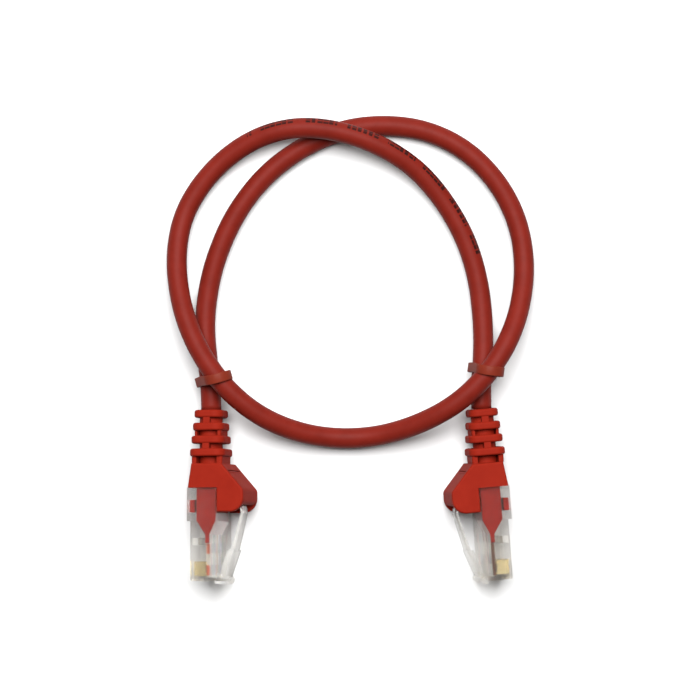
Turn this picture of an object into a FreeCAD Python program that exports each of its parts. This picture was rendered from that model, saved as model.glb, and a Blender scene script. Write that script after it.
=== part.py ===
import FreeCAD, Part
import math
import os
import Sketcher
from FreeCAD import Placement, Rotation, Vector

# An ethernet patch lead lying in a loop of one and a half turns, with a moulded modular plug on each
# end and two tie bands. Millimetres, +Z up, origin on the surface it lies on, under the middle.
# Each plug is built in its own frame: the cord leaves the boot at the origin, +X runs to the
# plug's nose, +Y across the eight contacts and +Z to the latch.

DIMENSIONS = (
    # cord
    ("jacket_radius", 2.5), ("jacket_bore", 2.0), ("pair_radius", 0.76), ("pair_offset", 1.12),
    # boot, strain relief first; places along X
    ("rib_count", 4), ("rib_pitch", 3.15), ("rib_length", 1.9), ("rib_first", 7.3), ("rib_growth", 0.55),
    ("rib_extra_width", 0.6), ("rib_corner", 2.4), ("rib_rim", 0.55), ("sleeve_radius", 2.8),
    ("web_overlap", 0.6), ("web_inset", 0.5), ("side_inset", 1.8), ("bar_inset", 1.1), ("bar_corner", 0.6),
    ("boot_clearance", 0.04), ("side_web", 1.7), ("window", 5.2), ("shoulder", 13.1), ("hood_end", 24.9),
    ("hood_crest", 19.5), ("hood_height", 10.05), ("shoulder_height", 4.4), ("shoulder_depth", 3.2),
    ("boot_depth", 4.1), ("hood_foot", 3.25), ("boot_width", 11.8), ("crest_round", 1.6),
    ("hood_round", 3.4), ("cheek_gap", 9.5), ("tab_floor", 4.75),
    # thumb tab
    ("tab_width", 9.24), ("tab_pivot_x", 15.4), ("tab_pivot_z", 5.75), ("tab_root", 0.5),
    ("tab_root_gap", 0.2), ("tab_end", 23.1), ("tab_thickness", 1.25),
    # plug housing
    ("plug_rear", 19.0), ("plug_step", 27.1), ("plug_nose", 41.6), ("plug_width", 11.68),
    ("rear_depth", 4.2), ("front_depth", 3.3), ("latch_face", 3.2),
    ("cavity_width", 9.4), ("cavity_depth", 2.1), ("cavity_height", 2.85), ("funnel_end", 30.4),
    ("stem_start", 29.0), ("stem_end", 32.5), ("stem_width", 0.5), ("stem_offset", 4.4),
    ("row_width", 8.4), ("row_height", 0.7), ("row_half", 0.55), ("row_end", 40.7),
    ("crimp_start", 21.9), ("crimp_end", 25.0), ("crimp_width", 8.0),
    ("clamp_start", 31.1), ("clamp_end", 32.9), ("clamp_depth", 0.9),
    ("lug_height", 1.35), ("bar_height", 0.9), ("bar_depth", 2.65), ("clamp_low", 1.9),
    ("slot_start", 36.8), ("slot_end", 40.4), ("slot_width", 0.5), ("contact_pitch", 1.02),
    # wires and contacts
    ("wire_radius", 0.46), ("bundle_pitch", 1.08), ("layer_offset", 0.55), ("fan_end", 27.0),
    ("blade_thickness", 0.36), ("blade_depth", 2.9), ("blade_height", 0.55),
    # latch
    ("hinge_x", 40.2), ("hinge_z", 3.95), ("knuckle_radius", 0.65), ("seat_radius", 0.75), ("lip_width", 9.6),
    ("latch_width", 6.0), ("tail_width", 3.2), ("latch_shoulder", 34.0), ("latch_tip", 22.6),
    # tie bands
    ("band_radius", 3.08), ("band_thickness", 0.8), ("band_width", 2.35),
)

# The cord's route, from the boot of plug a to the boot of plug b.
ROUTE = (
    (-33.8, -14.7, 5.9), (-33.9, -9.0, 5.5), (-34.8, -2.4, 4.7), (-35.5, 5.2, 3.4), (-35.0, 13.0, 2.6),
    (-32.9, 22.5, 2.5), (-28.1, 33.5, 2.5), (-20.7, 43.0, 2.5), (-11.5, 49.8, 2.5), (-1.0, 54.2, 2.5),
    (9.5, 55.1, 2.5), (19.8, 53.5, 2.5), (29.3, 48.4, 2.5), (36.8, 40.3, 2.5), (41.4, 30.6, 2.6),
    (42.8, 20.3, 3.5), (41.5, 10.3, 6.9), (38.4, 2.0, 10.4), (34.1, -4.9, 11.8), (28.5, -10.9, 11.8),
    (22.3, -15.3, 10.6), (14.4, -19.0, 7.2), (5.6, -21.3, 3.9), (-3.7, -21.7, 3.3), (-13.2, -20.0, 6.0),
    (-22.1, -16.1, 9.2), (-29.8, -9.8, 10.7), (-35.6, -2.2, 10.6), (-39.7, 6.4, 9.2), (-41.9, 15.0, 6.3),
    (-42.5, 23.8, 3.8), (-41.0, 32.3, 2.6), (-37.0, 39.8, 2.6), (-31.1, 46.4, 3.4), (-23.8, 51.3, 5.2),
    (-15.9, 53.9, 7.4), (-7.8, 54.1, 8.1), (0.6, 52.4, 8.1), (9.1, 49.0, 6.9), (16.9, 43.7, 4.5),
    (23.5, 35.9, 2.9), (28.6, 26.7, 2.5), (31.5, 16.6, 2.6), (32.5, 6.8, 3.8), (32.5, -1.8, 5.4),
    (31.8, -8.8, 6.5), (32.0, -14.3, 6.6),
)

# Each plug: where the cord leaves its boot, how far its nose leans towards +X, how far it is raised,
# how far the plug is rolled from lying on its side, with its latch turned up, in degrees, and which
# way its latch faces along X.
PLUGS = {"a": (Vector(*ROUTE[0]), 0.0, 4.0, 17.0, 1), "b": (Vector(*ROUTE[-1]), 4.5, 0.0, 9.5, -1)}

# Pins 1 to 8 in order, by the colour of each wire.
WIRES = ("white_orange", "orange", "white_green", "blue", "white_blue", "green", "white_brown", "brown")
PAIRS = ("orange", "green", "blue", "brown")

# Each tie band: its middle, the turn of its axis from +Y on the plan, and how far the upper of the two
# strands that it holds passes from its middle, across and up. The lower one passes as far the other way.
BANDS = {"a": ((-33.1, -7.0, 8.0), 15.0, 1.07, 2.7), "b": ((33.0, -4.8, 8.75), -7.0, 0.83, 2.89)}

JACKET_STOP = 24.9  # where the jacket ends inside the plug
OVAL_START, OVAL_FULL, OVAL_MIDDLE = 14.6, 18.2, 0.4  # where the cord's end turns oval, and its height
MOULD_GAP = 0.04  # round the inner mould, inside the housing
END_GAP = 0.15  # between the free cord and its end inside the boot, whose faces aren't quite parallel


def make_sheet(doc):
    """The driving dimensions, each cell with an alias."""
    sheet = doc.addObject("Spreadsheet::Sheet", "dims")
    for row, (alias, size) in enumerate(DIMENSIONS, start=1):
        sheet.set(f"A{row}", alias)
        sheet.set(f"B{row}", str(size))
        sheet.setAlias(f"B{row}", alias)
    doc.recompute()
    return sheet


def value(doc, expression):
    """What an expression over the sheet comes to."""
    return float(doc.dims.evalExpression(expression))


def bind(feature, **sizes):
    """Bind properties to expressions over the sheet."""
    for name, expression in sizes.items():
        feature.setExpression(name, expression)


def side_plane(body):
    """The body's own plane that the plug's side outlines are drawn on."""
    return next(item for item in body.Origin.OriginFeatures if item.Role == "XZ_Plane")


def outline(doc, body, name, corners):
    """A closed polygon on the body's side plane; corners are pairs of expressions."""
    sketch = body.newObject("Sketcher::SketchObject", name)
    sketch.AttachmentSupport = (side_plane(body), [""])
    sketch.MapMode = "FlatFace"
    places = [Vector(value(doc, across), value(doc, up), 0) for across, up in corners]
    count = len(places)
    for index, start in enumerate(places):
        sketch.addGeometry(Part.LineSegment(start, places[(index + 1) % count]), False)
    for index in range(count):
        sketch.addConstraint(Sketcher.Constraint("Coincident", index, 2, (index + 1) % count, 1))
    for index, (across, up) in enumerate(corners):
        for kind, expression, size in (
            ("DistanceX", across, places[index].x),
            ("DistanceY", up, places[index].y),
        ):
            number = sketch.addConstraint(Sketcher.Constraint(kind, -1, 1, index, 1, size))
            sketch.setExpression(f"Constraints[{number}]", expression)
    return sketch


def slab(doc, body, name, corners, width):
    """A side outline padded evenly to both sides of the plug's middle plane."""
    pad = body.newObject("PartDesign::Pad", name)
    pad.Profile = outline(doc, body, name + "_outline", corners)
    pad.SideType = "Symmetric"
    bind(pad, Length=width)
    doc.recompute()
    return pad


def slot(doc, body, name, corners, width):
    """A side outline cut evenly to both sides of the plug's middle plane."""
    pocket = body.newObject("PartDesign::Pocket", name)
    pocket.Profile = outline(doc, body, name + "_outline", corners)
    pocket.SideType = "Symmetric"
    bind(pocket, Length=width)
    doc.recompute()
    return pocket


def side_rectangle(start, end, low, high):
    return ((start, low), (end, low), (end, high), (start, high))


def edges_where(shape, test):
    return [number for number, edge in enumerate(shape.Edges, start=1) if test(edge)]


def runs_along(edge, axis):
    ends = [vertex.Point for vertex in edge.Vertexes]
    return len(ends) == 2 and abs(abs((ends[1] - ends[0]).normalize().dot(axis)) - 1) < 1e-6


def rounded(doc, name, base, numbers, radius):
    """A fillet of one radius on some of the edges of a Part object."""
    fillet = doc.addObject("Part::Fillet", name)
    fillet.Base = base
    fillet.Edges = [(number, radius, radius) for number in numbers]
    doc.recompute()
    return fillet


def cylinder(doc, name, radius, length, start="0"):
    """A cylinder along the plug's axis."""
    item = doc.addObject("Part::Cylinder", name)
    bind(item, Radius=radius, Height=length)
    item.Placement = Placement(Vector(value(doc, start), 0, 0), Rotation(Vector(0, 1, 0), 90))
    return item


def block(doc, name, length, width, height, start, low=None, middle="0"):
    """A box from start along the plug's axis, evenly round it unless low or middle moves it."""
    item = doc.addObject("Part::Box", name)
    bind(item, Length=length, Width=width, Height=height)
    corner = (start, f"{middle} - ({width}) / 2", low or f"-({height}) / 2")
    item.Placement.Base = Vector(*(value(doc, expression) for expression in corner))
    return item


def joined(doc, name, items):
    fuse = doc.addObject("Part::MultiFuse", name)
    fuse.Shapes = items
    fuse.Refine = True
    return fuse


def cut(doc, name, base, tools):
    """The base with every tool taken out of it."""
    result = doc.addObject("Part::Cut", name)
    result.Base = base
    result.Tool = tools[0] if len(tools) == 1 else joined(doc, name + "_tools", tools)
    doc.recompute()
    return result


def loft(doc, name, wires):
    """A solid between closed wires."""
    sections = []
    for number, wire in enumerate(wires):
        section = doc.addObject("Part::Feature", f"{name}_section_{number}")
        section.Shape = wire
        sections.append(section)
    item = doc.addObject("Part::Loft", name)
    item.Sections = sections
    item.Solid = True
    item.Ruled = True
    doc.recompute()
    return item


def rectangle_wire(place, width, low, high):
    """A rectangle across the plug's axis."""
    half = width / 2
    corners = [Vector(place, *yz) for yz in ((-half, low), (half, low), (half, high), (-half, high))]
    return Part.makePolygon(corners + corners[:1])


def oval_wire(place, half_width, half_height, middle):
    """An ellipse across the plug's axis, or a circle where the halves are the same."""
    if half_width == half_height:
        return Part.Wire(Part.makeCircle(half_width, Vector(place, 0, middle), Vector(1, 0, 0)))
    side = Vector(place, half_width, middle)
    top = Vector(place, 0, middle + half_height)
    return Part.Wire(Part.Ellipse(side, top, Vector(place, 0, middle)).toShape())


def smooth_path(points, report=None):
    """Straight runs joined by tangent arcs, each as large as its two runs allow."""
    edges = []
    here = points[0]
    for before, corner, after in zip(points, points[1:], points[2:]):
        back = before - corner
        onward = after - corner
        turn = math.pi - back.getAngle(onward)
        reach = 0.45 * min(back.Length, onward.Length)
        radius = reach / math.tan(turn / 2)
        start = corner + back.normalize() * reach
        end = corner + onward.normalize() * reach
        inward = (back + onward).normalize()
        middle = corner + inward * (radius / math.cos(turn / 2) - radius)
        edges.append(Part.LineSegment(here, start).toShape())
        edges.append(Part.Arc(start, middle, end).toShape())
        here = end
        if report is not None:
            report.append(radius)
    edges.append(Part.LineSegment(here, points[-1]).toShape())
    return Part.Wire(edges)


def across(path):
    """The point and direction at a path's start."""
    first = path.Edges[0]
    return first.valueAt(first.FirstParameter), first.tangentAt(first.FirstParameter)


def swept(doc, name, path, radius, offset=None):
    """A round section, bound to the sheet, swept along a path."""
    start, direction = across(path)
    turned = Rotation(Vector(0, 0, 1), direction)
    spine = doc.addObject("Part::Feature", name + "_path")
    spine.Shape = path
    circle = doc.addObject("Part::Circle", name + "_section")
    bind(circle, Radius=radius)
    circle.Placement = Placement(start + turned.multVec(offset or Vector()), turned)
    sweep = doc.addObject("Part::Sweep", name)
    sweep.Sections = [circle]
    sweep.Spine = (spine, [f"Edge{number}" for number in range(1, len(path.Edges) + 1)])
    sweep.Solid = True
    sweep.Transition = "Right corner"
    doc.recompute()
    return sweep


def make_ribs(doc, side):
    """The strain relief's rounded ribs, each a little larger than the one before."""
    ribs = []
    for number in range(int(value(doc, "dims.rib_count"))):
        height = f"dims.rib_first + {number} * dims.rib_growth"
        base = block(doc, f"rib_block_{number}_{side}", "dims.rib_length", f"{height} + dims.rib_extra_width",
                     height, f"{number} * dims.rib_pitch")
        doc.recompute()
        long_edges = edges_where(base.Shape, lambda edge: runs_along(edge, Vector(1, 0, 0)))
        round_rib = rounded(doc, f"rib_round_{number}_{side}", base, long_edges,
                            value(doc, "dims.rib_corner"))
        rims = edges_where(round_rib.Shape, lambda edge: not runs_along(edge, Vector(1, 0, 0)))
        ribs.append(rounded(doc, f"rib_{number}_{side}", round_rib, rims, value(doc, "dims.rib_rim")))
    return ribs


def make_webs(doc, side):
    """The webs between ribs: one gap has them at its wide faces' middles, the next at its two sides."""
    webs = []
    gap = "dims.rib_pitch - dims.rib_length + 2 * dims.web_overlap"
    for number in range(int(value(doc, "dims.rib_count"))):
        start = f"{number} * dims.rib_pitch + dims.rib_length - dims.web_overlap"
        size = f"(dims.rib_first + {number} * dims.rib_growth)"
        name = f"web_{number}_{side}"
        if number % 2 == 0:
            width = f"{size} + dims.rib_extra_width - dims.web_inset"
            webs.append(block(doc, name, gap, width, "dims.side_web", start))
        else:
            square = block(doc, name + "_square", gap, f"{size} - dims.side_inset",
                           f"{size} - dims.bar_inset", start)
            doc.recompute()
            corners = edges_where(square.Shape, lambda edge: runs_along(edge, Vector(1, 0, 0)))
            bar = rounded(doc, name + "_bar", square, corners, value(doc, "dims.bar_corner"))
            window = block(doc, name + "_window", gap, f"{size}", "dims.window", start)
            webs.append(cut(doc, name, bar, [window]))
    return webs


def hood_outline():
    """The hood's corners from its shoulder to its front end, before rounding."""
    return (("dims.hood_end", "dims.hood_foot"), ("dims.hood_end", "dims.hood_height"),
            ("dims.hood_crest", "dims.hood_height"), ("dims.shoulder", "dims.shoulder_height"))


def make_boot(doc, side):
    """The moulded boot: ribbed strain relief, body round the plug's rear and two cheeks beside the tab."""
    body = doc.addObject("PartDesign::Body", f"boot_body_{side}")
    slab(doc, body, f"hood_{side}", (
        ("dims.shoulder", "-dims.shoulder_depth"), ("dims.plug_rear", "-dims.boot_depth"),
        ("dims.plug_rear", "dims.hood_foot")) + hood_outline(), "dims.boot_width")
    round_hood(doc, body, f"hood_{side}")
    slot(doc, body, f"tab_space_{side}", (
        ("dims.tab_pivot_x", "dims.tab_floor"), ("dims.plug_rear", "dims.tab_floor"),
        ("dims.plug_rear", "dims.hood_foot - 1"), ("dims.hood_end + 1", "dims.hood_foot - 1"),
        ("dims.hood_end + 1", "dims.hood_height + 2"), ("dims.tab_pivot_x - 0.3", "dims.hood_height + 2"),
        ("dims.tab_pivot_x - 0.3", "dims.tab_pivot_z"), ("dims.tab_pivot_x", "dims.tab_pivot_z"),
    ), "dims.cheek_gap")
    groove = body.newObject("PartDesign::Pocket", f"tab_groove_{side}")
    groove.Profile = round_outline(doc, body, f"tab_groove_outline_{side}",
                                   "dims.tab_root + dims.tab_root_gap", "dims.tab_pivot_x", "dims.tab_pivot_z")
    groove.SideType = "Symmetric"
    bind(groove, Length="dims.cheek_gap")
    doc.recompute()
    soften(doc, body, f"side_round_{side}", side_edges(doc, body), 0.45)
    sleeve = cylinder(doc, f"sleeve_{side}", "dims.sleeve_radius", "dims.shoulder + 0.5")
    whole = joined(doc, f"boot_whole_{side}", [body, sleeve] + make_ribs(doc, side) + make_webs(doc, side))
    clearance = value(doc, "dims.boot_clearance")
    mouth = cylinder(doc, f"boot_mouth_{side}", "dims.jacket_radius + dims.boot_clearance", "3", "-1")
    bore = oval_end(doc, f"boot_bore_{side}", clearance, "dims.jacket_radius")
    return cut(doc, f"boot_{side}", whole, [mouth, bore])


def round_hood(doc, body, name):
    """Round the hood's two upper corners: a small radius at the crest, a large one at the front."""
    crest, front = value(doc, "dims.hood_crest"), value(doc, "dims.hood_end")
    for label, place, radius in (("crest", crest, "dims.crest_round"), ("front", front, "dims.hood_round")):
        soften(doc, body, f"{name}_{label}_round", hood_edges(doc, body, place), value(doc, radius))


def hood_edges(doc, body, place):
    """The edge across the hood's top at one place along the plug."""
    top = value(doc, "dims.hood_height")
    return edges_where(body.Shape, lambda edge: runs_along(edge, Vector(0, 1, 0))
                       and abs(edge.Vertexes[0].Point.z - top) < 1e-6
                       and abs(edge.Vertexes[0].Point.x - place) < 1e-6)


def side_edges(doc, body):
    """The rims of the two wide faces."""
    half = value(doc, "dims.boot_width / 2")
    rear = value(doc, "dims.plug_rear")
    return edges_where(body.Shape, lambda edge: all(abs(abs(v.Point.y) - half) < 1e-6 for v in edge.Vertexes)
                       and not runs_along(edge, Vector(0, 1, 0))
                       and not all(abs(v.Point.x - rear) < 1e-6 for v in edge.Vertexes))


def soften(doc, body, name, numbers, radius):
    """A PartDesign fillet on the body's last shape."""
    fillet = body.newObject("PartDesign::Fillet", name)
    fillet.Base = (body.Tip if body.Tip is not fillet else fillet.BaseFeature,
                   [f"Edge{number}" for number in numbers])
    fillet.Radius = radius
    doc.recompute()
    return fillet


def make_tab(doc, side):
    """The thumb tab over the latch's tail: the hood's roof, with a round root in a groove on the boot."""
    body = doc.addObject("PartDesign::Body", f"thumb_tab_{side}")
    slope = "((dims.hood_height - dims.shoulder_height) / (dims.hood_crest - dims.shoulder))"
    root_top = f"dims.shoulder_height + {slope} * (dims.tab_pivot_x - dims.shoulder)"
    under = "dims.hood_height - dims.tab_thickness"
    slab(doc, body, f"tab_{side}", (
        ("dims.tab_pivot_x", f"{root_top} - dims.tab_thickness"),
        ("dims.hood_crest + 0.55", under), ("dims.tab_end", under), ("dims.tab_end", "dims.hood_height"),
        ("dims.hood_crest", "dims.hood_height"), ("dims.tab_pivot_x", root_top),
    ), "dims.tab_width")
    soften(doc, body, f"tab_crest_round_{side}",
           hood_edges(doc, body, value(doc, "dims.hood_crest")), value(doc, "dims.crest_round"))
    soften(doc, body, f"tab_front_round_{side}",
           hood_edges(doc, body, value(doc, "dims.tab_end")), 1.1)
    root = body.newObject("PartDesign::Pad", f"tab_root_{side}")
    root.Profile = round_outline(doc, body, f"tab_root_outline_{side}", "dims.tab_root",
                                 "dims.tab_pivot_x", "dims.tab_pivot_z")
    root.SideType = "Symmetric"
    bind(root, Length="dims.tab_width")
    doc.recompute()
    return body


def make_housing(doc, side):
    """The clear modular plug: stepped block with a cavity, wire channel, crimp windows and slots."""
    body = doc.addObject("PartDesign::Body", f"plug_block_{side}")
    slab(doc, body, f"block_{side}", (
        ("dims.plug_rear", "-dims.rear_depth"), ("dims.plug_step", "-dims.rear_depth"),
        ("dims.plug_step", "-dims.front_depth"), ("dims.plug_nose - 0.4", "-dims.front_depth"),
        ("dims.plug_nose", "-dims.front_depth + 0.4"), ("dims.plug_nose", "dims.latch_face - 0.4"),
        ("dims.plug_nose - 0.4", "dims.latch_face"), ("dims.plug_rear", "dims.latch_face"),
    ), "dims.plug_width")
    slab(doc, body, f"latch_root_{side}", (
        ("dims.hinge_x - 0.5", "dims.latch_face - 0.3"), ("dims.plug_nose - 0.6", "dims.latch_face - 0.3"),
        ("dims.plug_nose - 0.3", "dims.latch_face - 0.6"), ("dims.plug_nose + 0.7", "dims.latch_face - 0.6"),
        ("dims.plug_nose + 0.7", "dims.hinge_z - 0.2"), ("dims.plug_nose + 0.1", "dims.hinge_z + 0.5"),
        ("dims.hinge_x + 0.75", "dims.hinge_z + 0.65"), ("dims.hinge_x - 0.5", "dims.hinge_z - 0.3"),
    ), "dims.lip_width")
    slot(doc, body, f"cavity_{side}", side_rectangle(
        "dims.plug_rear - 1", "dims.plug_step", "-dims.cavity_depth", "dims.cavity_height"),
        "dims.cavity_width")
    slot(doc, body, f"funnel_{side}", (
        ("dims.plug_step - 0.1", "-dims.cavity_depth"),
        ("dims.funnel_end", "dims.row_height - dims.row_half"),
        ("dims.funnel_end", "dims.row_height + dims.row_half"),
        ("dims.plug_step - 0.1", "dims.cavity_height"),
    ), "dims.cavity_width")
    slot(doc, body, f"stem_space_{side}", side_rectangle(
        "dims.funnel_end - 0.1", "dims.stem_end", "dims.row_height - dims.row_half",
        "dims.row_height + dims.row_half"), "dims.cavity_width")
    slot(doc, body, f"channel_{side}", side_rectangle(
        "dims.funnel_end - 0.1", "dims.row_end", "dims.row_height - dims.row_half",
        "dims.row_height + dims.row_half"), "dims.row_width")
    slot(doc, body, f"crimp_window_{side}", side_rectangle(
        "dims.crimp_start", "dims.crimp_end", "-dims.rear_depth - 1", "0"), "dims.crimp_width")
    slot(doc, body, f"clamp_window_{side}", side_rectangle(
        "dims.clamp_start", "dims.clamp_end", "-dims.front_depth - 1", "-dims.clamp_depth"),
        "dims.crimp_width")
    seat = body.newObject("PartDesign::Pocket", f"hinge_seat_{side}")
    seat.Profile = round_outline(doc, body, f"hinge_seat_outline_{side}", "dims.seat_radius")
    seat.SideType = "Symmetric"
    bind(seat, Length="dims.latch_width + 0.4")
    doc.recompute()
    slots = []
    for pin in range(1, 9):
        middle = f"{pin - 4.5} * dims.contact_pitch"
        slots.append(block(doc, f"slot_{pin}_{side}", "dims.slot_end - dims.slot_start", "dims.slot_width",
                           "dims.front_depth + dims.row_height", "dims.slot_start", "-dims.front_depth - 0.2",
                           middle))
        slots.append(block(doc, f"groove_{pin}_{side}", "dims.plug_nose - dims.slot_end + 1",
                           "dims.slot_width", "1.7", "dims.slot_end - 0.1", "-dims.front_depth - 0.2",
                           middle))
    return cut(doc, f"plug_housing_cut_{side}", body, slots)


def round_outline(doc, body, name, radius, across="dims.hinge_x", up="dims.hinge_z"):
    """A circle on the body's side plane, at the latch's hinge unless placed elsewhere."""
    sketch = body.newObject("Sketcher::SketchObject", name)
    sketch.AttachmentSupport = (side_plane(body), [""])
    sketch.MapMode = "FlatFace"
    centre = Vector(value(doc, across), value(doc, up), 0)
    sketch.addGeometry(Part.Circle(centre, Vector(0, 0, 1), value(doc, radius)), False)
    for kind, size, expression in (("DistanceX", centre.x, across), ("DistanceY", centre.y, up)):
        number = sketch.addConstraint(Sketcher.Constraint(kind, -1, 1, 0, 3, size))
        sketch.setExpression(f"Constraints[{number}]", expression)
    number = sketch.addConstraint(Sketcher.Constraint("Radius", 0, value(doc, radius)))
    sketch.setExpression(f"Constraints[{number}]", radius)
    return sketch


def make_latch(doc, side):
    """The latch lever: round knuckle at its hinge, wide front with two shoulders, narrow tail."""
    body = doc.addObject("PartDesign::Body", f"latch_{side}")
    knuckle = body.newObject("PartDesign::Pad", f"knuckle_{side}")
    knuckle.Profile = round_outline(doc, body, f"knuckle_outline_{side}", "dims.knuckle_radius")
    knuckle.SideType = "Symmetric"
    bind(knuckle, Length="dims.latch_width")
    slab(doc, body, f"lever_{side}", (
        ("dims.hinge_x", "dims.hinge_z + dims.knuckle_radius - 0.01"),
        ("dims.latch_shoulder", "dims.hinge_z + 2.95"), ("dims.latch_shoulder", "dims.hinge_z + 1.35"),
        ("dims.hinge_x - 2.2", "dims.hinge_z - 0.1"),
        ("dims.hinge_x", "dims.hinge_z - dims.knuckle_radius + 0.1"),
    ), "dims.latch_width")
    slab(doc, body, f"tail_{side}", (
        ("dims.latch_shoulder + 1.6", "dims.hinge_z + 2.3"),
        ("dims.latch_shoulder - 0.1", "dims.hinge_z + 2.95"),
        ("dims.latch_tip + 2.5", "dims.hinge_z + 5.0"), ("dims.latch_tip + 0.2", "dims.hinge_z + 4.55"),
        ("dims.latch_tip", "dims.hinge_z + 4.3"), ("dims.latch_tip", "dims.hinge_z + 3.9"),
        ("dims.latch_tip + 2.5", "dims.hinge_z + 4.15"), ("dims.latch_shoulder - 0.1", "dims.hinge_z + 1.75"),
        ("dims.latch_shoulder + 1.6", "dims.hinge_z + 1.0"),
    ), "dims.tail_width")
    return body


def make_inner_mould(doc, side):
    """The moulding in the plug's rear, round the cord's end: it tapers to the wires and runs beside them."""
    gap = MOULD_GAP
    rear, step, end = (value(doc, f"dims.{name}") for name in ("plug_rear", "plug_step", "funnel_end"))
    low, high = -value(doc, "dims.cavity_depth") + gap, value(doc, "dims.cavity_height") - gap
    row, half = value(doc, "dims.row_height"), value(doc, "dims.row_half") - gap
    width = value(doc, "dims.cavity_width") - 2 * gap
    block_part = loft(doc, f"mould_block_{side}", [
        rectangle_wire(rear + gap, width, low, high), rectangle_wire(step - gap, width, low, high)])
    funnel = loft(doc, f"mould_funnel_{side}", [
        rectangle_wire(step - 0.2, width, low, high),
        rectangle_wire(end - gap, width, row - half, row + half)])
    stems = [
        block(doc, f"mould_stem_{number}_{side}", "dims.stem_end - dims.stem_start - 0.1", "dims.stem_width",
              f"{2 * half}", "dims.stem_start", f"{row - half}", middle)
        for number, middle in enumerate(("dims.stem_offset", "-dims.stem_offset"))]
    whole = joined(doc, f"mould_whole_{side}", [block_part, funnel] + stems)
    jacket_space = oval_end(doc, f"mould_bore_{side}", 0.03, "dims.jacket_radius")
    tunnel = loft(doc, f"mould_tunnel_{side}", [
        rectangle_wire(JACKET_STOP - 0.2, 5.6, -0.85, 1.7), rectangle_wire(step - 0.5, 8.2, -0.75, 1.6),
        rectangle_wire(end + 0.2, 8.2, row - 0.48, row + 0.48)])
    bar_space = block(doc, f"mould_bar_space_{side}", "dims.crimp_end - dims.crimp_start",
                      "dims.crimp_width", "3", "dims.crimp_start", "-4.65")
    return cut(doc, f"mould_cavity_{side}", whole, [jacket_space, tunnel, bar_space])


def oval_end(doc, name, extra, radius):
    """The cord's end: round in the boot, pressed to an oval inside the plug."""
    size = value(doc, radius)
    half_width, half_height = size * 1.26 + extra, size * 0.8 + extra
    return loft(doc, name, [
        oval_wire(END_GAP, size + extra, size + extra, 0),
        oval_wire(OVAL_START, size + extra, size + extra, 0),
        oval_wire(OVAL_FULL, half_width, half_height, OVAL_MIDDLE),
        oval_wire(JACKET_STOP, half_width, half_height, OVAL_MIDDLE)])


def make_jacket_end(doc, side):
    """The end of the jacket inside the boot and plug, with its bore."""
    outside = oval_end(doc, f"jacket_end_outside_{side}", 0, "dims.jacket_radius")
    inside = oval_end(doc, f"jacket_end_bore_{side}", 0, "dims.jacket_bore")
    return cut(doc, f"jacket_end_cut_{side}", outside, [inside])


def wire_path(doc, pin):
    """Two layers of four wires in the oval cord end, fanned out and flattened to one row."""
    row = value(doc, f"{pin - 4.5} * dims.contact_pitch")
    bundled = value(doc, f"{(pin + 1) // 2 - 2.5} * dims.bundle_pitch")
    layer = OVAL_MIDDLE + value(doc, "dims.layer_offset") * (1 if pin % 2 else -1)
    height = value(doc, "dims.row_height")
    start, end = value(doc, "dims.plug_rear + 2.6"), value(doc, "dims.row_end - 0.3")
    return smooth_path([
        Vector(start, bundled, layer), Vector(JACKET_STOP, bundled, layer),
        Vector(value(doc, "dims.fan_end"), row, layer),
        Vector(value(doc, "dims.stem_start - 0.1"), row, height), Vector(end, row, height)])


def make_contact(doc, pin, side):
    """One gold contact blade, with two points that pierce its wire."""
    body = doc.addObject("PartDesign::Body", f"contact_{pin}_{side}")
    start, end = "dims.slot_start + 0.1", "dims.slot_end - 0.1"
    slab(doc, body, f"blade_{pin}_{side}", (
        (start, "-dims.blade_depth"), (end, "-dims.blade_depth"), (end, "0"),
        (f"{end} - 0.25", "dims.blade_height"), (f"{end} - 0.7", "dims.blade_height"), (f"{end} - 1.0", "0"),
        (f"{start} + 1.0", "0"), (f"{start} + 0.7", "dims.blade_height"),
        (f"{start} + 0.25", "dims.blade_height"),
        (start, "0"),
    ), "dims.blade_thickness")
    return body


def stadium(offset, radius, deep):
    """A solid round two strands that lie an offset either side of the middle."""
    out = Vector(offset).normalize() * radius
    beside = Vector(-out.z, 0, out.x)
    ends = [offset + beside, -offset + beside, -offset - beside, offset - beside]
    face = Part.Face(Part.Wire([
        Part.LineSegment(ends[0], ends[1]).toShape(), Part.Arc(ends[1], -offset - out, ends[2]).toShape(),
        Part.LineSegment(ends[2], ends[3]).toShape(), Part.Arc(ends[3], offset + out, ends[0]).toShape()]))
    face.translate(Vector(0, -deep / 2, 0))
    return face.extrude(Vector(0, deep, 0))


def make_band(doc, side):
    """A tie band: a flat strip closed round two strands, one above the other."""
    middle, turn, side_step, rise = BANDS[side]
    offset = Vector(side_step, 0, rise)
    inner, width = value(doc, "dims.band_radius"), value(doc, "dims.band_width")
    ring = doc.addObject("Part::Feature", f"tie_band_{side}")
    outside = stadium(offset, inner + value(doc, "dims.band_thickness"), width)
    ring.Shape = outside.cut(stadium(offset, inner, 2 * width))
    return ring, Placement(Vector(*middle), Rotation(Vector(0, 0, 1), turn))


def plug_place(side):
    """Where a plug lies: nose towards -Y, on its side, latch turned up by its roll."""
    origin, lean, raised, roll, latch_side = PLUGS[side]
    lean, raised, roll = math.radians(lean), math.radians(raised), math.radians(roll)
    ahead = Vector(math.sin(lean), -math.cos(lean), 0)
    nose = ahead * math.cos(raised) + Vector(0, 0, math.sin(raised))
    up = Vector(0, 0, math.cos(raised)) - ahead * math.sin(raised)
    level = Vector(math.cos(lean), math.sin(lean), 0) * latch_side
    latch = level * math.cos(roll) + up * math.sin(roll)
    return Placement(origin, Rotation(nose, latch.cross(nose), latch, "XYZ"))


def place_part(parts, item, label, placement):
    """Give a finished sub-part its label and its place in the whole."""
    item.Label = label
    item.Placement = placement.multiply(item.Placement)
    parts.append(item)


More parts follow.
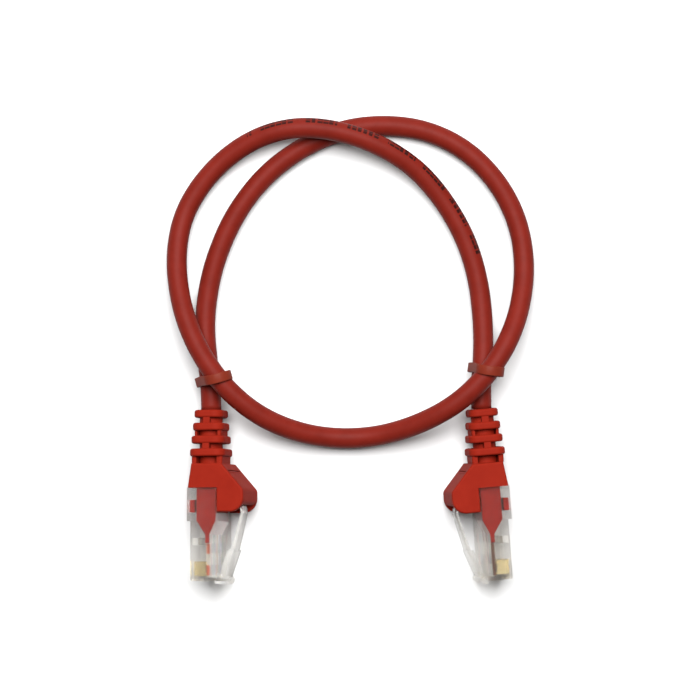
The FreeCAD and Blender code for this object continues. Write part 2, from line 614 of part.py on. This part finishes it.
def build_plug(doc, parts, side):
    place = plug_place(side)
    place_part(parts, make_boot(doc, side), f"boot_{side}", place)
    place_part(parts, make_tab(doc, side), f"thumb_tab_{side}", place)
    place_part(parts, make_housing(doc, side), f"plug_housing_{side}", place)
    place_part(parts, make_latch(doc, side), f"latch_{side}", place)
    place_part(parts, make_inner_mould(doc, side), f"inner_mould_{side}", place)
    lug = block(doc, f"mould_lug_{side}", "dims.crimp_end - dims.crimp_start - 0.1", "dims.crimp_width - 0.1",
                "dims.lug_height", "dims.crimp_start + 0.05", "-dims.rear_depth + 0.1")
    place_part(parts, lug, f"mould_lug_{side}", place)
    place_part(parts, make_jacket_end(doc, side), f"jacket_end_{side}", place)
    bar = block(doc, f"crimp_bar_{side}", "dims.crimp_end - dims.crimp_start - 0.1", "dims.crimp_width - 0.1",
                "dims.bar_height", "dims.crimp_start + 0.05", "-dims.bar_depth")
    place_part(parts, bar, f"crimp_bar_{side}", place)
    clamp = block(doc, f"wire_clamp_{side}", "dims.clamp_end - dims.clamp_start - 0.1",
                  "dims.crimp_width - 0.1", "dims.bar_height", "dims.clamp_start + 0.05", "-dims.clamp_low")
    place_part(parts, clamp, f"wire_clamp_{side}", place)
    for pin, colour in enumerate(WIRES, start=1):
        wire = swept(doc, f"wire_{colour}_{side}", wire_path(doc, pin), "dims.wire_radius")
        place_part(parts, wire, f"wire_{colour}_{side}", place)
        across_row = Placement(Vector(0, value(doc, f"{pin - 4.5} * dims.contact_pitch"), 0), Rotation())
        place_part(parts, make_contact(doc, pin, side), f"contact_{pin}_{side}", place.multiply(across_row))


def build_cord(doc, parts):
    """The jacket from boot to boot, with its four pairs inside."""
    radii = []
    path = smooth_path([Vector(*point) for point in ROUTE], radii)
    print("cord length %.1f mm" % path.Length)
    print("arc radii from %.1f to %.1f mm:" % (min(radii), max(radii)), " ".join("%.0f" % r for r in radii))
    jacket = cut(doc, "cable_jacket", swept(doc, "jacket_outside", path, "dims.jacket_radius"),
                 [swept(doc, "jacket_bore", path, "dims.jacket_bore")])
    place_part(parts, jacket, "cable_jacket", Placement())
    outer, inner = value(doc, "dims.jacket_radius"), value(doc, "dims.jacket_bore")
    expected = math.pi * (outer ** 2 - inner ** 2) * path.Length
    print("jacket volume %.0f mm3, section times length %.0f mm3" % (jacket.Shape.Volume, expected))
    offset = value(doc, "dims.pair_offset")
    for number, colour in enumerate(PAIRS):
        angle = math.radians(45 + 90 * number)
        beside = Vector(math.cos(angle), math.sin(angle), 0) * offset
        pair = swept(doc, f"pair_{colour}", path, "dims.pair_radius", beside)
        place_part(parts, pair, f"pair_{colour}", Placement())


def check(doc, parts):
    """Stop if any object failed or any sub-part isn't one valid solid."""
    for item in doc.Objects:
        if {"Invalid", "Error"} & set(item.State):
            raise SystemExit(f"{item.Label} failed: {item.State}")
    for item in parts:
        shape = item.Shape
        if shape.isNull() or not shape.isValid() or not shape.Solids:
            raise SystemExit(f"{item.Label} has no valid solid")
        print("%-24s solids %d volume %9.2f" % (item.Label, len(shape.Solids), shape.Volume))


def main():
    doc = FreeCAD.newDocument("patch_lead")
    make_sheet(doc)
    parts = []
    build_cord(doc, parts)
    for side in PLUGS:
        build_plug(doc, parts, side)
    for side in BANDS:
        band, place = make_band(doc, side)
        place_part(parts, band, f"tie_band_{side}", place)
    doc.recompute()
    check(doc, parts)
    os.makedirs("parts", exist_ok=True)
    for item in parts:
        item.Shape.exportStep(f"parts/{item.Label}.step")


main()
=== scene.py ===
import math

import bpy
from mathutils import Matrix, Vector, noise


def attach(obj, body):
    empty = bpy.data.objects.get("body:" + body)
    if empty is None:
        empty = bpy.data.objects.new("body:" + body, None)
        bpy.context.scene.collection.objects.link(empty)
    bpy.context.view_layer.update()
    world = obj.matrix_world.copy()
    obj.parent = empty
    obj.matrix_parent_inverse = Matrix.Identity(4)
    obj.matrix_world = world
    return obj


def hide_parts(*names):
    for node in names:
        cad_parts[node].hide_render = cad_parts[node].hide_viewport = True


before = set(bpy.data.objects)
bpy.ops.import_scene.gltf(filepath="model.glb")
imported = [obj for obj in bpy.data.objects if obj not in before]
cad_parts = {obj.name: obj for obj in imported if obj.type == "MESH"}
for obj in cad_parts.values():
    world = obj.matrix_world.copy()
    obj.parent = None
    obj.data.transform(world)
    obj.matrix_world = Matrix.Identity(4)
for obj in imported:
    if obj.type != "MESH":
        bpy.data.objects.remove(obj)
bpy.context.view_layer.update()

# ---------------------------------------------------------------- sizes, metres
CORD_DIAMETER = 0.005
BAND_WIDTH = 0.00235
BAND_THICKNESS = 0.00075
BAND_CLEARANCE = 0.00010
BAND_SLACK = 0.0002          # how far the band stands off, past its clearance
BAND_EDGE = 0.00022          # the radius of its rounded edges
BAND_DRIFT = (0.00016, 0.00008)   # how far its middle line waves along the cord, once and three times round
STRAND_REACH = 0.012         # strands further than this from a band's middle aren't in it
CORD_INSET = 0.00003         # keeps the uneven surface inside the cord's diameter
CORD_WAVE, CORD_WAVE_PITCH = 0.000012, 0.017
CORD_LUMPS, CORD_LUMP_SCALE = 0.000018, 160
HOUSING_EDGE, LATCH_EDGE, BOOT_EDGE, TAB_EDGE = 0.00012, 0.00018, 0.00012, 0.0002
STRIPE_PITCH = 0.0052        # of a striped wire's bands

# The cord's route, boot a to boot b, as in the CAD.
ROUTE = (
    (-0.0338, -0.0147, 0.0059), (-0.0339, -0.0090, 0.0055), (-0.0348, -0.0024, 0.0047),
    (-0.0355, 0.0052, 0.0034), (-0.0350, 0.0130, 0.0026), (-0.0329, 0.0225, 0.0025),
    (-0.0281, 0.0335, 0.0025), (-0.0207, 0.0430, 0.0025), (-0.0115, 0.0498, 0.0025),
    (-0.0010, 0.0542, 0.0025), (0.0095, 0.0551, 0.0025), (0.0198, 0.0535, 0.0025),
    (0.0293, 0.0484, 0.0025), (0.0368, 0.0403, 0.0025), (0.0414, 0.0306, 0.0026),
    (0.0428, 0.0203, 0.0035), (0.0415, 0.0103, 0.0069), (0.0384, 0.0020, 0.0104),
    (0.0341, -0.0049, 0.0118), (0.0285, -0.0109, 0.0118), (0.0223, -0.0153, 0.0106),
    (0.0144, -0.0190, 0.0072), (0.0056, -0.0213, 0.0039), (-0.0037, -0.0217, 0.0033),
    (-0.0132, -0.0200, 0.0060), (-0.0221, -0.0161, 0.0092), (-0.0298, -0.0098, 0.0107),
    (-0.0356, -0.0022, 0.0106), (-0.0397, 0.0064, 0.0092), (-0.0419, 0.0150, 0.0063),
    (-0.0425, 0.0238, 0.0038), (-0.0410, 0.0323, 0.0026), (-0.0370, 0.0398, 0.0026),
    (-0.0311, 0.0464, 0.0034), (-0.0238, 0.0513, 0.0052), (-0.0159, 0.0539, 0.0074),
    (-0.0078, 0.0541, 0.0081), (0.0006, 0.0524, 0.0081), (0.0091, 0.0490, 0.0069),
    (0.0169, 0.0437, 0.0045), (0.0235, 0.0359, 0.0029), (0.0286, 0.0267, 0.0025),
    (0.0315, 0.0166, 0.0026), (0.0325, 0.0068, 0.0038), (0.0325, -0.0018, 0.0054),
    (0.0318, -0.0088, 0.0065), (0.0320, -0.0143, 0.0066),
)

# Each tie band: a point in its plane and the turn of its axis from +Y on the plan, in degrees.
BANDS = {"a": ((-0.0331, -0.0070, 0.0080), 15.0), "b": ((0.0330, -0.0048, 0.00875), -7.0)}

# Each plug's nose direction on the plan, as a turn towards +X in degrees.
LEANS = {"a": 0.0, "b": 4.5}


def nose_direction(side):
    lean = math.radians(LEANS[side])
    return (math.sin(lean), -math.cos(lean), 0.0)


# ---------------------------------------------------------------- materials
def srgb(r, g, b):
    """A display colour, 0 to 255, as the linear colour that a shader takes."""
    def linear(c):
        c /= 255
        return c / 12.92 if c <= 0.04045 else ((c + 0.055) / 1.055) ** 2.4
    return (linear(r), linear(g), linear(b), 1.0)


class Shader:
    """A material with one Principled shader, and short calls for the nodes that feed it."""

    def __init__(self, name):
        self.material = bpy.data.materials.new(name)
        self.material.use_nodes = True
        self.tree = self.material.node_tree
        self.main = next(n for n in self.tree.nodes if n.type == "BSDF_PRINCIPLED")

    def set(self, **values):
        for name, value in values.items():
            self.main.inputs[name.replace("_", " ")].default_value = value

    def node(self, kind, inputs=(), **settings):
        made = self.tree.nodes.new(kind)
        for name, value in settings.items():
            setattr(made, name, value)
        for socket, value in dict(inputs).items():
            if hasattr(value, "is_output"):
                self.tree.links.new(value, made.inputs[socket])
            else:
                made.inputs[socket].default_value = value
        return made

    def link(self, output, socket):
        self.tree.links.new(output, self.main.inputs[socket])

    def place(self):
        return self.node("ShaderNodeTexCoord").outputs["Object"]

    def noise(self, scale, detail=3.0, roughness=0.5):
        inputs = {"Scale": scale, "Detail": detail, "Roughness": roughness, "Vector": self.place()}
        return self.node("ShaderNodeTexNoise", inputs).outputs["Fac"]

    def cloud(self, factor, low, high):
        """A colour that drifts between two near ones with the factor."""
        made = self.node("ShaderNodeValToRGB", {"Fac": factor})
        for element, position, colour in zip(made.color_ramp.elements, (0.3, 0.7), (low, high)):
            element.position = position
            element.color = colour
        return made.outputs["Color"]

    def spread(self, factor, low, high):
        inputs = {"Value": factor, "To Min": low, "To Max": high}
        return self.node("ShaderNodeMapRange", inputs).outputs["Result"]

    def maths(self, operation, first, second=0.0):
        return self.node("ShaderNodeMath", {0: first, 1: second}, operation=operation).outputs[0]

    def mix(self, factor, first, second):
        made = self.node("ShaderNodeMix", data_type="RGBA")
        for socket, value in (("Factor_Float", factor), ("A_Color", first), ("B_Color", second)):
            target = next(i for i in made.inputs if i.identifier == socket)
            if hasattr(value, "is_output"):
                self.tree.links.new(value, target)
            else:
                target.default_value = value
        return next(o for o in made.outputs if o.identifier == "Result_Color")

    def bump(self, height, strength, distance):
        made = self.node("ShaderNodeBump", {"Height": height, "Strength": strength, "Distance": distance})
        self.link(made.outputs["Normal"], "Normal")

    def attribute(self, name):
        return self.node("ShaderNodeAttribute", attribute_name=name).outputs["Fac"]


def vinyl(name, low, high, roughness, grain, gloss):
    """Moulded or extruded vinyl: a slight cloud in the colour, fine grain and faint handling marks."""
    shader = Shader(name)
    colour = shader.cloud(shader.noise(260.0, 4.0, 0.6), low, high)
    shader.link(colour, "Base Color")
    marks = shader.noise(900.0, 5.0, 0.65)
    shader.link(shader.spread(marks, roughness - 0.07, roughness + 0.09), "Roughness")
    shader.bump(shader.noise(grain, 4.0, 0.6), 0.25, 0.00003)
    shader.set(Specular_IOR_Level=gloss, IOR=1.5)
    return shader, colour


# The legend: its stretch along the cord, its dashes and groups, in millimetres, and where it runs round
# the cord and half its height, as turns from straight up towards the loop's outside, in radians.
LEGEND_START, LEGEND_END = 322.0, 391.0
DASH_PITCH, WORD_PITCH = 1.35, 10.1
DASH_SHARE = (0.6, 0.92)     # of its pitch, from the shortest dash to the longest
WORD_GAP = 0.24              # of its pitch
LEGEND_TURN, LEGEND_HALF = 0.86, 0.34
OPEN_MIDDLE = 0.3            # how far a dash is split into two rows at most, of half its height
INK_WEAR, INK_LIMIT = (0.6, 1.2), 0.95


def legend_cover(shader):
    """Ink on the jacket: short broken dashes in groups, which stand for its printed legend."""
    along, turn = shader.attribute("along"), shader.attribute("turn")
    cells = shader.maths("DIVIDE", along, DASH_PITCH)
    chance = shader.node("ShaderNodeTexWhiteNoise", {"W": shader.maths("FLOOR", cells)},
                         noise_dimensions="1D").outputs["Value"]
    within = shader.maths("FRACT", cells)
    dash = shader.maths("LESS_THAN", within, shader.spread(chance, *DASH_SHARE))
    in_group = shader.maths("FRACT", shader.maths("DIVIDE", along, WORD_PITCH))
    words = shader.maths("GREATER_THAN", in_group, WORD_GAP)
    offset = shader.maths("ABSOLUTE", shader.maths("SUBTRACT", turn, LEGEND_TURN))
    row = shader.maths("LESS_THAN", offset, LEGEND_HALF)
    split = shader.maths("MULTIPLY", chance, LEGEND_HALF * OPEN_MIDDLE)
    open_middle = shader.maths("GREATER_THAN", offset, split)
    start = shader.maths("GREATER_THAN", along, LEGEND_START)
    end = shader.maths("LESS_THAN", along, LEGEND_END)
    cover = dash
    for part in (words, row, open_middle, start, end):
        cover = shader.maths("MULTIPLY", cover, part)
    worn = shader.spread(shader.noise(1800.0, 3.0), *INK_WEAR)
    return shader.maths("MINIMUM", shader.maths("MULTIPLY", cover, worn), INK_LIMIT)


def jacket_material():
    """Extruded red vinyl with its legend's ink."""
    shader, colour = vinyl("jacket_vinyl", srgb(88, 20, 12), srgb(96, 24, 16), 0.5, 14000.0, 0.06)
    shader.link(shader.mix(legend_cover(shader), colour, srgb(26, 10, 9)), "Base Color")
    return shader.material


def boot_material():
    shader, _ = vinyl("boot_vinyl", srgb(107, 22, 11), srgb(113, 25, 13), 0.6, 6500.0, 0.03)
    return shader.material


def mould_material():
    """The red moulding seen through the clear plastic."""
    shader, _ = vinyl("mould_vinyl", srgb(114, 12, 4), srgb(120, 14, 6), 0.6, 6500.0, 0.03)
    return shader.material


def tie_material():
    shader, _ = vinyl("tie_vinyl", srgb(88, 28, 17), srgb(97, 34, 21), 0.5, 7000.0, 0.04)
    shader.set(Coat_Weight=0.03, Coat_Roughness=0.25)
    return shader.material


def clear_material(name, low, high, opacity):
    """Clear moulded plastic, with a faint warm cast and flow marks. The caller gives its colours; darker ones
    are painted shade.
    """
    shader = Shader(name)
    shader.link(shader.cloud(shader.noise(420.0, 4.0, 0.6), low, high), "Base Color")
    shader.link(shader.spread(shader.noise(700.0, 3.0), 0.02, 0.09), "Roughness")
    shader.bump(shader.noise(350.0, 2.0), 0.2, 0.00006)
    shader.set(Transmission_Weight=0.98, IOR=1.5, Alpha=opacity)
    return shader.material


def gold_material():
    """Gold plating, slightly worn."""
    shader = Shader("gold_plating")
    tone = shader.cloud(shader.noise(2500.0, 3.0), srgb(212, 194, 146), srgb(236, 224, 184))
    shader.link(tone, "Base Color")
    shader.link(shader.spread(shader.noise(4000.0, 4.0), 0.16, 0.32), "Roughness")
    shader.set(Metallic=1.0)
    return shader.material


INSULATION = {
    "orange": srgb(150, 66, 34), "green": srgb(34, 84, 50),
    "blue": srgb(40, 56, 112), "brown": srgb(78, 50, 38),
}
WHITE = srgb(164, 158, 150)


def wire_material(colour, side):
    """Wire insulation: one colour, or white with bands of that colour at a pitch along its length."""
    name = colour.replace("white_", "")
    shader = Shader(f"insulation_{colour}_{side}")
    shade = INSULATION[name]
    tone = shader.spread(shader.noise(1500.0, 3.0), 0.0, 0.12)
    plain = shader.mix(tone, shade, tuple(c * 0.8 for c in shade[:3]) + (1.0,))
    if colour.startswith("white_"):
        along = shader.node("ShaderNodeVectorMath", {0: shader.place(), 1: nose_direction(side)},
                            operation="DOT_PRODUCT")
        turns = shader.maths("MULTIPLY", along.outputs["Value"], 2 * math.pi / STRIPE_PITCH)
        band = shader.maths("GREATER_THAN", shader.maths("SINE", turns), 0.1)
        plain = shader.mix(band, WHITE, plain)
    shader.link(plain, "Base Color")
    shader.bump(shader.noise(9000.0, 2.0), 0.15, 0.00002)
    shader.set(Roughness=0.38)
    return shader.material


def floor_material():
    shader = Shader("floor_paper")
    tone = shader.cloud(shader.noise(30.0, 2.0), (0.58, 0.58, 0.58, 1), (0.59, 0.59, 0.59, 1))
    shader.link(tone, "Base Color")
    shader.set(Roughness=0.9, Specular_IOR_Level=0.1)
    return shader.material


# ---------------------------------------------------------------- meshes
def add_mesh(name, points, faces, material):
    mesh = bpy.data.meshes.new(name)
    mesh.from_pydata([tuple(p) for p in points], [], faces)
    mesh.validate()
    made = bpy.data.objects.new(name, mesh)
    bpy.context.collection.objects.link(made)
    mesh.materials.append(material)
    for polygon in mesh.polygons:
        polygon.use_smooth = True
    return made


def spline_points(route, resolution):
    """Points along a smooth NURBS line that has the route's points as its control points."""
    curve = bpy.data.curves.new("route", "CURVE")
    curve.dimensions = "3D"
    curve.resolution_u = resolution
    spline = curve.splines.new("NURBS")
    spline.points.add(len(route) - 1)
    for point, place in zip(spline.points, route):
        point.co = (*place, 1.0)
    spline.order_u = 3
    spline.use_endpoint_u = True
    carrier = bpy.data.objects.new("route", curve)
    bpy.context.collection.objects.link(carrier)
    bpy.context.view_layer.update()
    mesh = bpy.data.meshes.new_from_object(carrier)
    line = [vertex.co.copy() for vertex in mesh.vertices]
    bpy.data.objects.remove(carrier)
    bpy.data.curves.remove(curve)
    bpy.data.meshes.remove(mesh)
    return line


def distances(line):
    found = [0.0]
    for before, after in zip(line, line[1:]):
        found.append(found[-1] + (after - before).length)
    return found


def carried_frames(line):
    """At each point: the line's direction and a normal carried along it without twisting."""
    frames = []
    normal = Vector((0, 0, 1))
    for index in range(len(line)):
        ahead = line[min(index + 1, len(line) - 1)] - line[max(index - 1, 0)]
        ahead.normalize()
        normal = (normal - ahead * normal.dot(ahead)).normalized()
        frames.append((ahead, normal.copy()))
    return frames


# ---------------------------------------------------------------- the cord
RING = 40                    # points round the cord
STEPS = 10                   # points along the cord for each point of its route
LOOP_MIDDLE = Vector((0, 0.016, 0))


def turn_from_top(out, centre, ahead):
    """How far round the cord a surface direction is from straight up, positive towards the loop's outside."""
    top = (Vector((0, 0, 1)) - ahead * ahead.z).normalized()
    aside = ahead.cross(top)
    if aside.dot(centre - LOOP_MIDDLE) < 0:
        aside = -aside
    return math.atan2(out.dot(aside), out.dot(top))


def make_cord(material):
    """The jacket as a tube along the route, very slightly uneven, with each vertex's place on it."""
    line = spline_points(ROUTE, STEPS)
    along = distances(line)
    frames = carried_frames(line)
    radius = CORD_DIAMETER / 2
    points, faces, lengths, turns = [], [], [], []
    for centre, distance, (ahead, normal) in zip(line, along, frames):
        side = ahead.cross(normal)
        for step in range(RING):
            angle = 2 * math.pi * step / RING
            out = normal * math.cos(angle) + side * math.sin(angle)
            wave = math.sin(2 * angle + distance * 2 * math.pi / CORD_WAVE_PITCH) * CORD_WAVE
            lump = noise.noise(centre * CORD_LUMP_SCALE + out * 0.8) * CORD_LUMPS
            points.append(centre + out * (radius - CORD_INSET + wave + lump))
            lengths.append(distance * 1000)
            turns.append(turn_from_top(out, centre, ahead))
    count = len(line)
    for index in range(count - 1):
        for step in range(RING):
            after = (step + 1) % RING
            a, b = index * RING + step, index * RING + after
            faces.append((a, b, b + RING, a + RING))
    faces.append(tuple(range(RING))[::-1])
    faces.append(tuple(range((count - 1) * RING, count * RING)))
    cord = add_mesh("cord_jacket", points, faces, material)
    for name, values in (("along", lengths), ("turn", turns)):
        cord.data.attributes.new(name, "FLOAT", "POINT").data.foreach_set("value", values)
    return cord, line


# ---------------------------------------------------------------- tie bands
def strands_through(line, middle, turn):
    """Where the cord passes a band's plane, as places across and up from the band's middle."""
    axis = Vector((-math.sin(turn), math.cos(turn), 0))
    aside = Vector((axis.y, -axis.x, 0))
    found = []
    for before, after in zip(line, line[1:]):
        first, second = (before - middle).dot(axis), (after - middle).dot(axis)
        if (first < 0) != (second < 0):
            place = before.lerp(after, first / (first - second)) - middle
            if abs(place.dot(aside)) < STRAND_REACH:
                found.append((place.dot(aside), place.z))
    return axis, aside, sorted(found, key=lambda place: place[1])


def band_path(low, high, radius, count=96):
    """A slack loop round two strands, as places across and up, evenly spaced."""
    low, high = Vector(low), Vector(high)
    middle = (low + high) / 2
    out = (high - low).normalized()
    beside = Vector((-out.y, out.x))
    straight = (high - low).length
    half = straight / 2
    total = 2 * straight + 2 * math.pi * radius
    places = []
    for index in range(count):
        s = total * index / count
        if s < straight:
            places.append(middle + beside * radius + out * (half - s))
        elif s < straight + math.pi * radius:
            angle = (s - straight) / radius
            places.append(middle - out * half + (beside * math.cos(angle) - out * math.sin(angle)) * radius)
        elif s < 2 * straight + math.pi * radius:
            places.append(middle - beside * radius + out * (s - straight - math.pi * radius - half))
        else:
            angle = (s - 2 * straight - math.pi * radius) / radius
            places.append(middle + out * half + (out * math.sin(angle) - beside * math.cos(angle)) * radius)
    return places


def band_section():
    """The band's section: a flat strip with rounded edges, as places across its width and thickness."""
    half_width, half_thick = BAND_WIDTH / 2, BAND_THICKNESS / 2
    section = []
    for corner in range(4):
        sign_x = 1 if corner in (0, 3) else -1
        sign_y = 1 if corner in (0, 1) else -1
        for step in range(4):
            angle = math.radians(90 * corner + 30 * step)
            section.append((sign_x * (half_width - BAND_EDGE) + math.cos(angle) * BAND_EDGE,
                            sign_y * (half_thick - BAND_EDGE) + math.sin(angle) * BAND_EDGE))
    return section


def make_band(side, line, material):
    """A flat vinyl band round the two strands, with rounded edges and a slight wave."""
    middle, turn = BANDS[side]
    middle, turn = Vector(middle), math.radians(turn)
    axis, aside, strands = strands_through(line, middle, turn)
    radius = CORD_DIAMETER / 2 + BAND_CLEARANCE + BAND_THICKNESS / 2
    path = band_path(strands[0], strands[-1], radius + BAND_SLACK)
    section = band_section()
    count, ring = len(path), len(section)
    points, faces = [], []
    for index, place in enumerate(path):
        ahead = (path[(index + 1) % count] - path[index - 1]).normalized()
        out = Vector((-ahead.y, ahead.x))
        phase = 2 * math.pi * index / count
        drift = BAND_DRIFT[0] * math.sin(phase + 0.6) + BAND_DRIFT[1] * math.sin(3 * phase)
        for width, thick in section:
            flat = place - out * thick
            points.append(middle + aside * flat.x + Vector((0, 0, 1)) * flat.y + axis * (width + drift))
    for index in range(count):
        for step in range(ring):
            after = (step + 1) % ring
            a, b = index * ring + step, index * ring + after
            c, d = (index + 1) % count * ring + after, (index + 1) % count * ring + step
            faces.append((a, b, c, d))
    return add_mesh(f"tie_{side}", points, faces, material)


# ---------------------------------------------------------------- CAD nodes
def dress(node, material):
    """Give a CAD node its material."""
    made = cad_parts[node]
    made.data.materials.clear()
    made.data.materials.append(material)
    return made


def soften(made, width):
    """Round a CAD node's sharp edges a little."""
    bevel = made.modifiers.new("edge_rounding", "BEVEL")
    bevel.width = width
    bevel.segments = 2
    bevel.limit_method = "ANGLE"
    bevel.angle_limit = math.radians(SHARP_EDGE)


SHARP_EDGE = 40.0            # edges that turn more than this, in degrees, are rounded
WIRES = ("white_orange", "orange", "white_green", "blue", "white_blue", "green", "white_brown", "brown")


def dress_all(nodes, side, material, rounding=0.0):
    """Give several CAD nodes of one plug a material and, where it isn't 0, a rounding of their edges."""
    for node in nodes:
        made = dress(f"{node}_{side}", material)
        if rounding:
            soften(made, rounding)


def dress_plugs(jacket):
    """Give every CAD node of both plugs and boots its material."""
    clear = clear_material("clear_plastic", srgb(228, 222, 211), srgb(238, 233, 224), 0.54)
    # The latch gets the housing's clear plastic with greyer colours and more opacity: the greyer colours are
    # painted shade, for the shade under the thin latch.
    shaded_latch_clear = clear_material("latch_plastic_painted_shade", srgb(186, 183, 176), srgb(200, 197, 190), 0.68)
    boot, mould, gold = boot_material(), mould_material(), gold_material()
    for side in BANDS:
        dress_all(("plug_housing",), side, clear, HOUSING_EDGE)
        dress_all(("crimp_bar", "wire_clamp"), side, clear)
        dress_all(("latch",), side, shaded_latch_clear, LATCH_EDGE)
        dress_all(("boot",), side, boot, BOOT_EDGE)
        dress_all(("thumb_tab",), side, boot, TAB_EDGE)
        dress_all(("inner_mould", "mould_lug"), side, mould)
        dress_all(("jacket_end",), side, jacket)
        dress_all([f"contact_{pin}" for pin in range(1, 9)], side, gold)
        for colour in WIRES:
            dress(f"wire_{colour}_{side}", wire_material(colour, side))


# ---------------------------------------------------------------- stage
CAMERA_HEIGHT = 1.0
SCALE = 4.09 * 1000          # image points to the metre at the cord's height, in a frame of 700
FRAME_SIZE = 700
FLOOR_REACH = 3.0
# Each lamp: its place, its size and its power in watts. All of them point at the middle of the floor.
LAMPS = {
    "key": ((0.0, 0.32, 0.85), (0.8, 0.6), 25.5),
    "top": ((0.0, 0.80, 0.35), (0.8, 0.3), 2.0),
    "left": ((-0.70, 0.0, 0.45), (0.3, 0.6), 0.3),
    "right": ((0.70, 0.0, 0.45), (0.3, 0.6), 0.25),
}


def make_camera():
    data = bpy.data.cameras.new("camera")
    data.sensor_width = 36.0
    data.lens = SCALE * (CAMERA_HEIGHT - CORD_DIAMETER / 2) * data.sensor_width / FRAME_SIZE
    made = bpy.data.objects.new("camera", data)
    made.location = (0, 0, CAMERA_HEIGHT)
    bpy.context.collection.objects.link(made)
    bpy.context.scene.camera = made


def area_light(name, place, size, power):
    data = bpy.data.lights.new(name, "AREA")
    data.shape = "RECTANGLE"
    data.size, data.size_y = size
    data.energy = power
    made = bpy.data.objects.new(name, data)
    made.location = place
    made.rotation_euler = (-Vector(place)).to_track_quat("-Z", "Y").to_euler()
    bpy.context.collection.objects.link(made)


def make_stage():
    corners = [(x * FLOOR_REACH, y * FLOOR_REACH, 0) for x, y in ((-1, -1), (1, -1), (1, 1), (-1, 1))]
    floor = add_mesh("floor", corners, [(0, 1, 2, 3)], floor_material())
    for name, (place, size, power) in LAMPS.items():
        area_light(f"light_{name}", place, size, power)
    world = bpy.data.worlds.new("studio")
    world.use_nodes = True
    background = world.node_tree.nodes["Background"]
    background.inputs["Color"].default_value = (1, 1, 1, 1)
    background.inputs["Strength"].default_value = 0.13
    bpy.context.scene.world = world
    bpy.context.scene.view_settings.view_transform = "Standard"


def main():
    """The camera and the cord come first, then the ties, the CAD nodes' looks and the stage."""
    make_camera()
    jacket = jacket_material()
    cord, line = make_cord(jacket)
    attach(cord, "cable")
    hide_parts("cable_jacket")
    tie = tie_material()
    for side in BANDS:
        band = make_band(side, line, tie)
        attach(band, "cable")
        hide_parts(f"tie_band_{side}")
    dress_plugs(jacket)
    for colour in INSULATION:
        dress(f"pair_{colour}", wire_material(colour, "a"))
    make_stage()


main()
